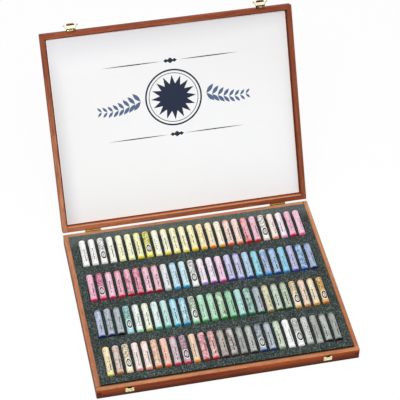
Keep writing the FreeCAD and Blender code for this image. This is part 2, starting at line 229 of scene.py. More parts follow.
# %% Finishes
class Finish(Network):
    """A material with a Principled shader."""

    def __init__(self, name, constants):
        self.material = bpy.data.materials.new(name)
        self.material.use_nodes = True
        super().__init__(self.material.node_tree)
        self.shader = self.tree.nodes["Principled BSDF"]
        for socket, value in constants.items():
            self.shader.inputs[socket].default_value = value

    def feed(self, socket, value):
        """Link a value to the shader."""
        self.tree.links.new(value.socket, self.shader.inputs[socket])

    def noise(self, at, scale, detail=2.0, roughness=0.5, distortion=0.0):
        """Soft cloudy noise from 0 to 1."""
        return self.node("ShaderNodeTexNoise", {}, {
            "Vector": at, "Scale": scale, "Detail": detail,
            "Roughness": roughness, "Distortion": distortion,
        })

    def ramp(self, value, low, high):
        """Smooth rise from 0 at low to 1 at high."""
        return self.node("ShaderNodeMapRange", {"interpolation_type": "SMOOTHSTEP"}, {
            "Value": value, "From Min": low, "From Max": high,
        })

    def fall(self, value, low, high):
        """Smooth fall from 1 at low to 0 at high."""
        return 1 - self.ramp(value, low, high)

    def mix(self, share, first, second):
        """Colour between two colours."""
        return self.node("ShaderNodeMix", {"data_type": "RGBA"}, {0: share, 6: first, 7: second}, 2)

    def layered(self, colour, *layers):
        """A colour with others laid over it in turn, each by its own share."""
        for share, over in layers:
            colour = self.mix(share, colour, over)
        return colour

    def mapped(self, at, kind="POINT", **inputs):
        """A vector that is moved, turned or stretched."""
        return self.node("ShaderNodeMapping", {"vector_type": kind}, {"Vector": at, **inputs})

    def scaled(self, colour, factor):
        """A colour made lighter or darker by a factor."""
        return self.node("ShaderNodeVectorMath", {"operation": "SCALE"}, {0: colour, "Scale": factor})

    def own(self, name, output):
        """A piece's own values: output 0 is a colour, 1 a vector and 2 a number."""
        return self.node("ShaderNodeAttribute", {"attribute_name": name}, output=output)

    def axes(self, at):
        """The three parts of a vector."""
        split = self.node("ShaderNodeSeparateXYZ", {}, {"Vector": at})
        outputs = split.socket.node.outputs
        return [Value(self, outputs[index]) for index in range(3)]

    def place(self, on_lid=False):
        """Position on the shut case, in metres."""
        at = self.node("ShaderNodeTexCoord", output=3)
        shift = turned_about_pin(np.zeros(3), lid_swing).tolist()
        return self.mapped(at, Rotation=(lid_swing, 0, 0), Location=shift) if on_lid else at

    def facing(self, on_lid=False):
        """Direction that the surface faces on the shut case."""
        at = self.node("ShaderNodeTexCoord", output=1)
        return self.mapped(at, "VECTOR", Rotation=(lid_swing, 0, 0)) if on_lid else at

    def bump(self, height, distance, strength=1.0):
        """Let a height in metres tilt the surface."""
        self.feed("Normal", self.node("ShaderNodeBump", {}, {
            "Height": height, "Distance": distance, "Strength": strength,
        }))


# %% [markdown]
# ## Stained wood
# The rails are one reddish timber with a thin satin varnish. Long, thin noise along each rail makes
# the figure, finer noise the fibres, and short dark streaks the pores. The rim where lid and base
# meet was cut after staining, so it is paler, and it drifts from one tone to another along each rail.
# The lid's inner walls have a tone of their own; the wall of its rear rail is painted lighter, a painted
# highlight, and the deep part of the walls by the lining has painted shadow. Painted shade darkens the
# base towards its foot, the lid rail under each clasp flap, the base rails' edges beside the foam and the
# pockets behind the catches. The ends of the finger joints are darker end grain.

# %% Sizes for the wood
half_width = cad_bounds[1][0]
half_depth = -rest_box("base_front_rail")[0][1]
wall_inset = 7.6 * MM            # faces further in than this are inside walls
end_grain_from = 180 * MM        # end grain shows only past this
inner_width = rest_box("base_right_rail")[0][0]
inner_depth = -rest_box("base_front_rail")[1][1]
catch_x = 0.5 * sum(rest_box("catch_plate_right"))[0]
pocket_z = 17.6 * MM             # height of the pockets behind the catches
plain_stain = (tone(106, 38, 12), tone(168, 78, 34))
print("catches", round(catch_x / MM, 1), "mm from the middle")


# %% Wood finish
def wood(name, grain, on_lid, rim, far_rim, stain=plain_stain, wall=tone(172, 102, 70), pockets=False):
    """Varnished wood whose grain runs along axis 0 or 1 of the shut case.

    Pockets are the cut-outs behind the noses of the catches, which get painted shade, near black.
    """
    finish = Finish(name, {
        "Coat Weight": 0.04, "Coat Roughness": 0.25, "Specular IOR Level": 0.08,
    })
    place = finish.place(on_lid)
    spot = finish.axes(place)
    facing = finish.axes(finish.facing(on_lid))

    def along(length, width):
        """Place in steps of a length along the grain and a width across it."""
        scale = [1 / width] * 3
        scale[grain] = 1 / length
        return finish.mapped(place, Scale=scale)

    # Figure, fibres and pores, and painted shade that darkens the base towards its foot
    figure = finish.noise(along(0.16, 0.006), 1.0, 3.0, 0.55, 0.8)
    fibre = finish.noise(along(0.030, 0.0011), 1.0, 2.0, 0.6)
    pores = finish.ramp(finish.noise(along(0.007, 0.0006), 1.0, 1.0), 0.58, 0.68)
    cloud = finish.noise(place, 14.0, 1.0)
    grain_light = finish.ramp(figure * 0.6 + fibre * 0.35 + cloud * 0.3, 0.44, 0.80)
    colour = finish.mix(grain_light, *stain)
    if not on_lid:
        foot = (finish.fall(spot[2], -6 * MM, 24 * MM) * 1.1).least(0.9)
        colour = finish.mix(foot, colour, tone(54, 20, 7))

    # Streaky rim, the walls inside the lid, and painted shadow on their deep part by the lining
    drift = finish.ramp(spot[grain] + (figure - 0.5) * 0.12, -0.19, 0.19)
    streak = finish.ramp(fibre * 0.5 + figure * 0.5, 0.40, 0.62)
    dark_streak = finish.ramp(finish.noise(along(0.05, 0.0025), 1.0, 3.0, 0.65), 0.50, 0.62)
    pale_streak = finish.ramp(figure * 0.7 + fibre * 0.3, 0.52, 0.70)
    rim_colour = finish.layered(
        rim, (drift, far_rim), (streak * 0.5, stain[0]),
        (dark_streak * (0.45 if on_lid else 0.1), tone(84, 34, 16)),
        (pale_streak * 0.5, tone(206, 146, 104)))
    inside = (abs(spot[0]) < half_width - wall_inset) * (abs(spot[1]) < half_depth - wall_inset)
    is_wall = inside * (spot[2] > parting) * (facing[2] < 0.5)
    painted_gap_shadow = is_wall * (spot[2] > cover_low[2] + 0.4 * MM)
    is_rim = finish.fall(abs(spot[2] - parting), 0.35 * MM, 0.95 * MM)
    colour = finish.layered(colour, (is_wall, wall), (painted_gap_shadow * 0.3, tone(60, 28, 17)),
                            (is_rim, rim_colour))

    # Painted shade under the clasp flaps, beside the foam and in the pockets, with pores and darker end
    # grain
    from_catch = abs(abs(spot[0]) - catch_x)
    if on_lid:
        painted_flap_shadow = finish.fall(from_catch, 4 * MM, 9 * MM)
        painted_flap_shadow = painted_flap_shadow * finish.fall(spot[1] + half_depth, 0.5 * MM, 5 * MM)
        colour = finish.mix(painted_flap_shadow * 0.5, colour, tone(92, 32, 18))
    else:
        # painted shadow of the foam on the inner edges of the base rails
        past_foam = (spot[0] - inner_width).most(-inner_depth - spot[1])
        painted_foam_shadow = (past_foam > 0) * finish.fall(past_foam, 0.7 * MM, 2.4 * MM)
        colour = finish.mix(painted_foam_shadow * 0.75, colour, tone(66, 38, 22))
    is_end = finish.ramp(abs(facing[grain]), 0.75, 0.9) * (abs(spot[grain]) > end_grain_from)
    colour = finish.layered(colour, (pores * 0.4, tone(70, 26, 14)), (is_end * 0.8, tone(70, 28, 16)))
    if pockets:
        # painted shade, near black, in the pockets behind the catches
        painted_pocket_shade = (from_catch < 3.7 * MM) * (abs(spot[2] - pocket_z) < 2.6 * MM)
        painted_pocket_shade = painted_pocket_shade * (spot[1] > 0.2 * MM - half_depth) * (spot[1] < 3 * MM - half_depth)
        colour = finish.mix(painted_pocket_shade, colour, tone(16, 8, 4))
    finish.feed("Base Color", colour)
    finish.feed("Roughness", 0.46 + fibre * 0.2 + pores * 0.12)
    finish.bump(fibre * 0.6 - pores * 0.8, 0.00006, 0.5)
    return finish


# %% Dress the rails and panels
def dress(node_names, finish):
    """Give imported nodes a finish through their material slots."""
    for node in node_names:
        for slot in nodes[node].material_slots:
            slot.material = finish.material


rail_tones = {                   # rim tones at the left or front end, and at the right or hinge end
    "base_front_rail": ((214, 150, 106), (206, 138, 94)),
    "base_rear_rail": ((200, 146, 110), (208, 148, 110)),
    "base_left_rail": ((188, 126, 92), (208, 146, 108)),
    "base_right_rail": ((192, 124, 86), (226, 166, 122)),
    "lid_front_rail": ((158, 82, 56), (138, 70, 47)),
    "lid_rear_rail": ((186, 116, 80), (136, 70, 40)),
    "lid_left_rail": ((144, 77, 54), (206, 142, 106)),
    "lid_right_rail": ((140, 74, 52), (150, 80, 54)),
}
for rail, (rim, far_rim) in rail_tones.items():
    grain = 1 if "left" in rail or "right" in rail else 0
    # the wall of the lid's rear rail is painted much lighter than the others, a painted highlight
    wall = tone(236, 158, 118) if rail == "lid_rear_rail" else tone(132, 70, 45)
    finish = wood(rail.replace("_", " ") + " wood", grain, rail.startswith("lid"),
                  tone(*rim), tone(*far_rim), wall=wall, pockets=rail == "base_front_rail")
    dress([rail], finish)
plain = tone(150, 82, 50)
sheet_stain = (tone(122, 56, 33), tone(160, 86, 54))
for part in ("base", "lid"):
    dress([f"{part}_panel"], wood(f"{part} plywood", 0, part == "lid", plain, plain, sheet_stain))
print("wood on", len(rail_tones) + 2, "nodes")

# %% [markdown]
# ## Brass
# The fittings are thin polished brass, whose colour tints what it reflects. Handling leaves a haze. The
# hollow of each lifting lip has painted shade and a painted brown reflection, the knuckles are darkened
# in mottled patches, and the faces of the plates that look up get painted shade.

# %% Brass finish
def brass(name, colour, roughness, tarnish_and_shade=None):
    """Polished metal, which tarnish and painted shade can darken in places."""
    finish = Finish(name, {"Metallic": 1.0})
    haze = finish.noise(finish.place(), 420.0, 3.0, 0.6)
    shade = finish.mix(finish.ramp(haze, 0.35, 0.7) * 0.35, colour, tone(188, 160, 84))
    if tarnish_and_shade:
        shade = tarnish_and_shade(finish, haze, shade)
    finish.feed("Base Color", shade)
    finish.feed("Roughness", roughness + haze * 0.16)
    finish.bump(haze, 0.00002, 0.3)
    return finish


# %% Tarnish and painted shade
def flap_place(finish):
    """Distance down the flap from its pin, and distance across from its middle line."""
    clasp = joints["clasp_right"]
    pin_x, pin_y, pin_z = clasp["pos_m"]
    turn = -lid_swing - math.radians(clasp["range_deg"][1])
    x, y, z = finish.axes(finish.place())
    down = (y - pin_y) * math.sin(turn) - (z - pin_z) * math.cos(turn)
    return down, abs(abs(x) - abs(pin_x))


def flap_tarnish_and_shade(finish, haze, shade):
    """Painted shade and a painted brown reflection in the hollow of the lifting lip, brown edges and ears,
    and mottled dark knuckles.
    """
    down, across = flap_place(finish)
    knuckle_end, half_ears, flare = 3.2 * MM, 7.0 * MM, 0.61
    # painted shade and a painted brown reflection in the hollow of the lifting lip
    lip = finish.ramp(down, 8.6 * MM, 9.3 * MM) * finish.fall(down, 12.0 * MM, 12.5 * MM)
    lip = lip * finish.fall(across, 6.6 * MM, 7.8 * MM)
    knuckle = finish.fall(down, knuckle_end, knuckle_end + MM) * finish.ramp(haze, 0.40, 0.47)
    past_edge = across - (half_ears + (down - knuckle_end).most(0.0) * flare)
    rim = finish.ramp(past_edge, 0.0, 0.5 * MM).most(finish.ramp(down, 12.3 * MM, 12.6 * MM))
    brown = rim * (0.55 + finish.ramp(haze, 0.40, 0.55) * 0.4)
    hollow = finish.mix(finish.ramp(haze, 0.4, 0.6), tone(28, 10, 4), tone(96, 56, 34))
    return finish.layered(shade, (brown, tone(62, 52, 20)), (knuckle * 0.95, tone(24, 22, 8)),
                          (lip, hollow))


def plate_tarnish_and_shade(finish, haze, shade):
    """Brown blotches, and painted shade on faces that look up, such as the top where the flap hooks on."""
    blotch = finish.ramp(haze, 0.50, 0.60) * 0.55
    painted_top_shade = finish.ramp(finish.axes(finish.facing())[2], 0.6, 0.9)
    return finish.layered(shade, (blotch, tone(112, 84, 34)), (painted_top_shade * 0.9, tone(30, 20, 8)))


# %% Dress the fittings
fittings = {                     # first words of the nodes' names, and their finish
    ("catch",): brass("catch brass", tone(252, 240, 192), 0.14, plate_tarnish_and_shade),
    ("clasp_plate", "clasp_nails"): brass("clasp brass", tone(200, 176, 104), 0.2, plate_tarnish_and_shade),
    ("clasp_flap",): brass("flap brass", tone(255, 248, 218), 0.12, flap_tarnish_and_shade),
    ("hinge",): brass("hinge brass", tone(152, 112, 58), 0.34),
    ("clasp_pin",): brass("tarnished brass", tone(78, 66, 28), 0.4),
}
for first_words, finish in fittings.items():
    fitted = [name for name in nodes if name.startswith(first_words)]
    dress(fitted, finish)
    print(finish.material.name, "on", len(fitted), "nodes")

# %% [markdown]
# ## The foam tray
# The tray is a dark die-cut foam sheet. Each slot is a little narrower than its pastel, so the foam
# bulges and wraps over the stick's sides in the middle, and it stands open at the two ends, where
# fingers lift the stick. One grid makes the whole sheet: its lines follow the edges of every slot,
# and how far the foam wraps over is a smooth function of the place along the slot.

# %% Where the pastels lie
row_names = [f"pastels_row_{row}" for row in (1, 2, 3, 4)]
row_boxes = np.array([rest_box(name) for name in row_names])
stick_radius = 6.0 * MM
sticks_per_row = 25
stick_reach = 0.5 * (row_boxes[0, 1, 1] - row_boxes[0, 0, 1])
last_x = row_boxes[0, 1, 0] - stick_radius
stick_x = np.linspace(-last_x, last_x, sticks_per_row)
half_pitch = 0.5 * (stick_x[1] - stick_x[0])
row_y = row_boxes[:, :, 1].mean(axis=1)
row_pitch = row_y[0] - row_y[1]
axis_z = row_boxes[0, 0, 2] + stick_radius
foam_low, foam_high = rest_box("foam_insert")
print("a pastel every", round(2 * half_pitch / MM, 2), "mm, axis", round(axis_z / MM, 2), "mm up")

# %% Section across a slot
wrap_angle = math.radians(22)    # how far above its axis a stick is held
wrap_reach = 17 * MM             # half length of the stretch that is held fully
wrap_fade = 8 * MM               # length over which the hold fades out towards the ends
end_width = 0.9 * MM             # extra room beside a stick at its ends
skin = 0.2 * MM                  # film under the slots
air = 0.12 * MM                  # air between foam and stick
slot_points = 5                  # points of a half section in the slot; the rest lie on the land


def eased_fall(distance, start, length):
    """1 up to a start, then 0 after a length: 1 less t squared times 3 - 2 t, with t from 0 to 1."""
    t = np.clip((np.abs(distance) - start) / length, 0, 1)
    return 1 - t * t * (3 - 2 * t)


def half_section(hold):
    """Half a slot, from its middle to the middle of the land: how far out and how high above the axis.

    Each point moves straight from its open place to its held place as hold goes from 0 to 1.
    Held foam follows the stick's round up to the wrap angle and crowns over the land.
    """
    top = foam_high[2] - axis_z
    floor = foam_low[2] + skin - axis_z
    edge = stick_radius + air + end_width
    bore = stick_radius + air
    angle = wrap_angle * hold
    wrap_out, wrap_up = bore * np.cos(angle), bore * np.sin(angle)
    land, held_land = half_pitch - edge, half_pitch - wrap_out
    open_out = [0, edge - 0.25 * MM, edge - 0.1 * MM, edge, edge + 0.15 * MM,
                edge + 0.45 * land, edge + 0.75 * land, half_pitch]
    open_up = [floor, floor, 0.35 * top, 0.75 * top, top - 0.03 * MM, top, top, top]
    held_out = [0, bore - 0.1 * MM, bore + 0.15 * MM, bore * np.cos(0.55 * angle), wrap_out,
                wrap_out + 0.22 * held_land, wrap_out + 0.55 * held_land, half_pitch]
    held_up = [floor, floor, 0.0, bore * np.sin(0.55 * angle), wrap_up,
               wrap_up + 0.42 * MM, wrap_up + 0.55 * MM, wrap_up + 0.45 * MM]
    pairs = (open_out, held_out), (open_up, held_up)
    return [np.array([a + hold * (b - a) for a, b in zip(*pair)]) for pair in pairs]


# %% Lines along the slots
rim_inset = np.array([0.0, 0.02, 0.15, 0.5, 1.2]) * MM   # lines round the edge, from its foot inwards
rim_drop = np.array([0.0, 1.2, 0.5, 0.12, 0.0]) * MM     # how far each lies below the top
slot_end = stick_reach + 0.6 * MM
half_along = np.array([0, 8, 14, 17, 19, 21, 23, 25, 28]) * MM
half_along = np.append(half_along, slot_end + np.array([-0.3, -0.15, 0.0, 0.6, 1.5]) * MM)
half_cut = np.append(np.ones(10), [0.1, 0.0, 0.0, 0.0])  # 1 where the slot is cut to its full depth
along = np.concatenate([-half_along[:0:-1], half_along])
cut_along = np.concatenate([half_cut[:0:-1], half_cut])

line_y = np.concatenate([foam_low[1] + rim_inset, *(row_y[::-1, None] + along),
                         foam_high[1] - rim_inset[::-1]])
line_cut = np.pad(np.tile(cut_along, 4), len(rim_inset))
line_hold = np.pad(np.tile(eased_fall(along, wrap_reach, wrap_fade), 4), len(rim_inset))
print(len(line_y), "lines across the sheet")

# %% The whole sheet
def edge_drop(count):
    """How far each of count lines lies below the top, which only those at the edges do."""
    return np.concatenate([rim_drop, np.zeros(count - 2 * len(rim_drop)), rim_drop[::-1]])


out, up = half_section(line_hold)
top = foam_high[2] - axis_z
is_slot = np.arange(len(out))[:, None] < slot_points
up = np.where(is_slot, top + (up - top) * line_cut, up)

order = [6, 5, 4, 3, 2, 1, 0, 1, 2, 3, 4, 5, 6, 7]
side = np.array([-1] * 6 + [0] + [1] * 7)[:, None]
sheet_x = (stick_x[:, None, None] + side * out[order]).reshape(-1, len(line_y))
sheet_z = axis_z + np.tile(up[order], (sticks_per_row, 1))

border = last_x + np.array([16.0, 12.5, 10.5, half_pitch / MM]) * MM   # columns past the last slot
border_x = np.concatenate([foam_high[0] - rim_inset, border])
border_z = axis_z + up[7] + 0 * border_x[:, None]
border_x = border_x[:, None] + 0 * line_y
sheet_x = np.concatenate([-border_x, sheet_x[:-1], border_x[::-1]])
sheet_z = np.concatenate([border_z, sheet_z[:-1], border_z[::-1]])

crown_share = eased_fall(sheet_x, last_x + 6.2 * MM, 6 * MM)   # the crown levels out at both sides
sheet_z = np.minimum(sheet_z, foam_high[2]) + np.maximum(sheet_z - foam_high[2], 0) * crown_share
sheet_z = sheet_z - np.maximum(edge_drop(len(sheet_x))[:, None], edge_drop(len(line_y)))
sheet_z[[0, -1], :] = foam_low[2]
sheet_z[:, [0, -1]] = foam_low[2]
sheet_points = np.stack([sheet_x, np.broadcast_to(line_y, sheet_x.shape), sheet_z], axis=-1)

index = np.arange(sheet_x.size).reshape(sheet_x.shape)
foot = np.concatenate([index[:, 0], index[-1, 1:], index[-2::-1, -1], index[0, -2:0:-1]])
print(sheet_x.shape, "points in the sheet")


# %% Foam finish
def foam(name, dark, light, between_sticks=False):
    """Closed-cell foam: pale specks on a darker ground, small pits and a matt surface."""
    finish = Finish(name, {
        "Roughness": 0.92, "Specular IOR Level": 0.14,
        "Sheen Weight": 0.06, "Sheen Roughness": 0.6,
    })
    place = finish.place()
    cells = finish.noise(place, 560.0, 2.0, 0.7)
    cloud = finish.noise(place, 60.0, 2.0)
    share = finish.ramp(cells * 0.9 + cloud * 0.1, 0.49, 0.68)
    colour = finish.mix(share, dark, light)
    if between_sticks:
        spot = finish.axes(place)
        from_stick = abs((spot[0] * (0.5 / half_pitch) + 0.5).fraction() - 0.5) * (2 * half_pitch)
        from_row = abs(abs(abs(spot[1]) - row_pitch) - 0.5 * row_pitch)
        # painted shade in the bands of the rows round the sticks, less at the middle of each land
        beside = (from_row < stick_reach + 1 * MM) * (abs(spot[0]) < last_x + 7.2 * MM)
        beside = beside * (1 - finish.ramp(from_stick, 7.2 * MM, 8.3 * MM) * 0.5)
        # the foam is paler towards the back of the tray
        paler_at_back = finish.ramp(spot[1], 140 * MM, 164 * MM) * 0.18
        # painted shade, near black, on the front side of the sheet
        painted_front_shade = spot[1] < 1.1 * MM - foam_high[1]
        colour = finish.layered(colour, (beside * 0.8, tone(16, 22, 20)), (paler_at_back, tone(152, 162, 157)),
                                (painted_front_shade, tone(14, 10, 5)))
    finish.feed("Base Color", colour)
    finish.bump(cells, 0.0003, 0.8)
    return finish


tray_foam = foam("speckled tray foam", tone(38, 47, 45), tone(120, 131, 127), between_sticks=True)
faces = [*grid_faces(*sheet_x.shape), foot]
tray = make_piece("tray_foam_sheet", sheet_points, faces, "base", tray_foam)
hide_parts("foam_insert")

# %% [markdown]
# Under the slotted sheet lies a second, plain foam sheet. It hardly shows, but it is soft, so it is a
# rounded slab: rounded rectangles stacked from one face to the other, smaller where the edge turns
# over.

# %% Slabs with rounded edges
def rounded_rectangle(low, high, inset, corner, steps=6):
    """Closed loop: a rectangle drawn inwards by inset, with an arc of the corner radius at each corner."""
    turn = np.linspace(0, math.pi / 2, steps)
    quarter = np.arange(4)[:, None] * math.pi / 2 + turn
    middle = 0.5 * (np.asarray(low[:2]) + high[:2])
    half = 0.5 * (np.asarray(high[:2]) - low[:2]) - inset
    radius = max(corner - inset, 0.1 * MM)
    signs = np.array([[1, 1], [-1, 1], [-1, -1], [1, -1]])[:, None]
    arcs = radius * np.stack([np.cos(quarter), np.sin(quarter)], axis=-1)
    return (middle + signs * (half - radius) + arcs).reshape(-1, 2)


def stacked(outlines, heights):
    """Outlines at their heights, joined one to the next, with a face on the first and on the last."""
    loops = [np.column_stack([outline, np.full(len(outline), height)])
             for outline, height in zip(outlines, heights)]
    rings, count = len(loops), len(loops[0])
    ends = [np.arange(count)[::-1], count * (rings - 1) + np.arange(count)]
    return np.concatenate(loops), [*grid_faces(rings, count, closed=True), *ends]


def slab(low, high, corner, low_edge, high_edge):
    """Rounded slab; an edge lists in mm how far in a line lies and how far from its face."""
    profile = [(inset, low[2] + rise * MM) for inset, rise in low_edge]
    profile += [(inset, high[2] - rise * MM) for inset, rise in reversed(high_edge)]
    outlines = [rounded_rectangle(low, high, inset * MM, corner) for inset, height in profile]
    return stacked(outlines, [height for inset, height in profile])


edge = [(0.6, 0.0), (0.15, 0.15), (0.0, 0.6)]
points, faces = slab(*rest_box("foam_underlay"), 1.5 * MM, edge, edge)
underlay = make_piece("foam_underlay_sheet", points, faces, "base",
                      foam("plain tray foam", tone(50, 56, 54), tone(76, 84, 80)))
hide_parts("foam_underlay")

# %% [markdown]
# ## One hundred pastels
# Each pastel is a short round stick of pressed pigment. A thin paper wrapper is rolled round it and
# leaves its front end bare. The colours are written as a chart. Each entry names the pigment of the
# bare end and the pigment that tints the wrapper, each with its strength in percent, in a few steps.
# Where one pigment is named, it is both. A star marks a label that lies face up, and a wave a wrapper
# that loose pigment has rubbed off on.

# %% Pigments
pigments = {                     # full strength, as display colours
    "white": (255, 255, 253), "lemon": (238, 226, 40), "yellow": (250, 205, 30),
    "gold": (246, 178, 40), "orange": (242, 132, 20), "scarlet": (222, 70, 34),
    "red": (206, 24, 34), "crimson": (176, 14, 42), "rose": (204, 26, 70),
    "magenta": (190, 30, 110), "purple": (124, 40, 140), "violet": (86, 40, 140),
    "indigo": (48, 52, 150), "navy": (16, 36, 100), "blue": (18, 68, 160),
    "cerulean": (20, 118, 190), "turquoise": (26, 140, 184), "sea": (34, 140, 114),
    "green": (36, 140, 62), "pine": (20, 84, 60), "leaf": (70, 132, 60),
    "moss": (54, 84, 40), "lime": (150, 180, 50), "olive": (120, 108, 40),
    "ochre": (208, 140, 44), "sienna": (184, 88, 40), "brick": (150, 50, 38),
    "plum": (70, 34, 48), "umber": (72, 54, 44), "slate": (58, 76, 88),
    "grey": (104, 112, 104), "black": (20, 21, 24),
}

# %% Chart of the rows
chart = [
    """white 100 100, white 100 100, white 100 100 *, white 100 lemon 3, lemon 20 10, lemon 20 10,
    lemon 80 14, lemon 80 34 *, lemon 20 6, yellow 60 6, yellow 40 10, yellow 40 10, yellow 100 14,
    gold 80 14 ~, orange 100 10, orange 60 6, scarlet 80 10, scarlet 60 10, red 100 14 ~,
    red 80 crimson 10, scarlet 10 3 *, scarlet 40 6, magenta 20 3, rose 100 14, rose 40 10""",
    """rose 80 14, rose 100 24 *, rose 80 10, red 80 crimson 14, crimson 100 14 ~, crimson 100 18 ~,
    crimson 100 10, crimson 100 10, slate 20 6, cerulean 60 10, turquoise 80 10, white 100 grey 6 *,
    violet 40 magenta 3, purple 80 6, magenta 80 10, violet 100 indigo 14, indigo 60 14, blue 100 14,
    turquoise 100 24, cerulean 100 navy 14 ~, blue 100 18, cerulean 80 24, indigo 80 18,
    blue 100 18 ~, navy 100 18""",
    """navy 100 14, navy 100 slate 24 ~, black 100 slate 24, turquoise 20 sea 24 *, green 20 3,
    lime 60 6, sea 60 6, sea 60 14, turquoise 80 18, turquoise 100 10 ~, green 40 leaf 14 *,
    green 80 18, green 60 18, green 100 leaf 18 ~, green 100 24, sea 100 18, pine 80 18 ~,
    pine 100 slate 24, olive 80 18, moss 100 14, moss 100 18, ochre 60 18 *, sienna 60 14,
    ochre 80 14, sienna 80 ochre 50 *""",
    """yellow 40 ochre 18, sienna 80 umber 14 ~, ochre 20 14 *, brick 40 6, scarlet 40 6, sienna 80 18 ~,
    scarlet 80 18, crimson 60 plum 14, crimson 60 plum 18 * ~, orange 80 sienna 18,
    brick 100 red 14 ~, crimson 100 brick 18 ~, plum 100 umber 24, umber 100 18 ~, umber 100 grey 50,
    black 80 grey 34, navy 80 slate 24 *, navy 80 slate 24, moss 40 14, white 100 grey 3,
    white 100 grey 14 *, grey 60 24, grey 40 50, black 80 grey 34, black 100 grey 50""",
]


# %% Read the chart
def tint(pigment, percent):
    """A pigment is paler as its strength falls: each part of its colour is raised to that power."""
    return np.array(tone(*pigments[pigment])) ** (float(percent) / 100)


def read_entry(entry):
    """Pigment and strength of the end, pigment and strength of the paper, then the marks."""
    words = entry.split()
    if words[2].isdigit():
        words.insert(2, words[0])
    return words


def read_chart(row_text):
    """Colours of the bare ends, tints of the wrappers, and the two marks of each pastel of a row."""
    entries = [read_entry(entry) for entry in row_text.split(",")]
    ends = np.array([tint(*entry[:2]) for entry in entries])
    papers = np.array([tint(*entry[2:4]) for entry in entries])
    return ends, papers, *([mark in entry[4:] for entry in entries] for mark in "*~")


print([len(read_chart(row_text)[0]) for row_text in chart], "pastels in the rows")

# %% Shape of a stick
stick_sides = 20
stick_profile = np.array([        # place along the stick and radius, in mm
    [0.0, 4.3], [0.15, 5.0], [0.45, 5.5], [0.85, 5.85], [1.2, 5.97], [1.6, 5.97], [2.0, 5.35],
    [59.2, 5.35], [59.7, 5.2], [60.0, 4.6],
]) * MM
stick_play = 0.9985              # share of its length that a stick fills


def rolled_round(profile, growth, turn):
    """A profile turned about the stick's axis: x is r cos t, z is r sin t and y the place along it."""
    radius = profile[:, 1:] + growth
    points = radius * np.cos(turn), profile[:, :1] - stick_reach, radius * np.sin(turn)
    return np.stack(np.broadcast_arrays(*points), axis=-1).reshape(-1, 3)


def stick(centre, roll):
    """Rings of points along a stick, and a pole at each end."""
    turn = roll + np.linspace(0, 2 * math.pi, stick_sides, endpoint=False)
    rings = rolled_round(stick_profile, 0, turn)
    poles = rings[[0, -1]] * (0, 1, 0)
    return np.concatenate([rings, poles]) * (1, stick_play, 1) + centre


def stick_faces():
    """Quads along the stick and a fan of triangles round each pole."""
    rings, ring = len(stick_profile), np.arange(stick_sides)
    beside = (ring + 1) % stick_sides
    pole, last = rings * stick_sides, (rings - 1) * stick_sides
    front = zip(0 * ring + pole, beside, ring)
    back = zip(0 * ring + pole + 1, last + ring, last + beside)
    return [*grid_faces(rings, stick_sides, closed=True), *front, *back]


# %% Shape of a wrapper
wrapper_profile = np.array([      # place along the stick and radius inside the paper, in mm
    [1.6, 5.42], [3.4, 5.76], [58.0, 5.76], [59.4, 5.52],
]) * MM
paper_thickness = 0.1 * MM
paper_glue = 0.02 * MM
paper_turns = 1.08               # once round, and a little overlap to glue
paper_points = 26


def wrapper(centre, roll):
    """A thin strip rolled a little more than once round, its radius growing by its thickness."""
    share = np.linspace(0, 1, paper_points)
    growth = share * (paper_thickness + paper_glue)
    growth = np.concatenate([growth + paper_thickness, growth[::-1]])
    share = np.concatenate([share, share[::-1]])
    turn = roll + share * paper_turns * 2 * math.pi
    return rolled_round(wrapper_profile, growth, turn) + centre, share * paper_turns


def wrapper_faces():
    """Quads along the strip, and a row of quads that closes each of its two rolled edges."""
    rings, count = len(wrapper_profile), 2 * paper_points
    step = np.arange(paper_points - 1)
    edge = np.stack([step, step + 1, count - 2 - step, count - 1 - step], axis=-1)
    return [*grid_faces(rings, count, closed=True), *edge[:, ::-1], *(edge + (rings - 1) * count)]


# %% Gather shapes
def gathered(parts):
    """Several meshes as one array of points, with the faces of each renumbered."""
    starts = np.cumsum([0] + [len(points) for points, faces in parts])
    faces = [[index + start for index in face] for start, part in zip(starts, parts) for face in part[1]]
    return np.concatenate([points for points, _ in parts]), faces


def add_attribute(piece, name, values):
    """Store a number, a vector of three or a colour of four for each point of a piece."""
    values = np.asarray(values, float)
    kind, field = {1: ("FLOAT", "value"), 3: ("FLOAT_VECTOR", "vector"),
                   4: ("FLOAT_COLOR", "color")}[values.size // len(values)]
    piece.data.attributes.new(name, kind, "POINT").data.foreach_set(field, values.ravel())


# %% Pigment finish
chalk = Finish("pressed pigment", {"Roughness": 0.95, "Specular IOR Level": 0.1})
dust = chalk.noise(chalk.place(), 1500.0, 3.0, 0.7)
worn = chalk.noise(chalk.place(), 240.0, 2.0)
own_colour = chalk.own("pigment", 0)
# painted highlight: faces of the pigment that look up are paler
painted_top_highlight = chalk.ramp(chalk.axes(chalk.facing())[2], 0.3, 0.95)
pigment_with_top_highlight = chalk.mix(painted_top_highlight * 0.14, own_colour, tone(250, 250, 250))
chalk.feed("Base Color", chalk.scaled(pigment_with_top_highlight, dust * 0.3 + worn * 0.2 + 0.75))
chalk.bump(dust, 0.00012, 0.6)

# %% [markdown]
# Every wrapper has a line of fine print with paler lines beside it. Where the label lies up there is
# a block of fine print with a badge in front of it: a ring round a few bars. The print is too small
# to read, so it is drawn as dashes: cells of a grid that a random value turns on or off.

# %% Print on the paper
paper = Finish("printed wrapper paper", {"Roughness": 0.62, "Specular IOR Level": 0.25})
across, lengthways, marked = paper.axes(paper.own("label", 1))
seed = paper.own("seed", 2)


def letters(line_count, letter_count):
    """Random value of each cell in a grid of lines round the paper and letters along it."""
    cell = paper.node("ShaderNodeCombineXYZ", {}, {
        0: (across * line_count).floor(), 1: (lengthways * letter_count).floor(), 2: seed * 97,
    })
    return paper.node("ShaderNodeTexWhiteNoise", {"noise_dimensions": "3D"}, {"Vector": cell}, 0)


def stretch(low, high):
    """1 between two places along the paper."""
    return (lengthways > low) * (lengthways < high)


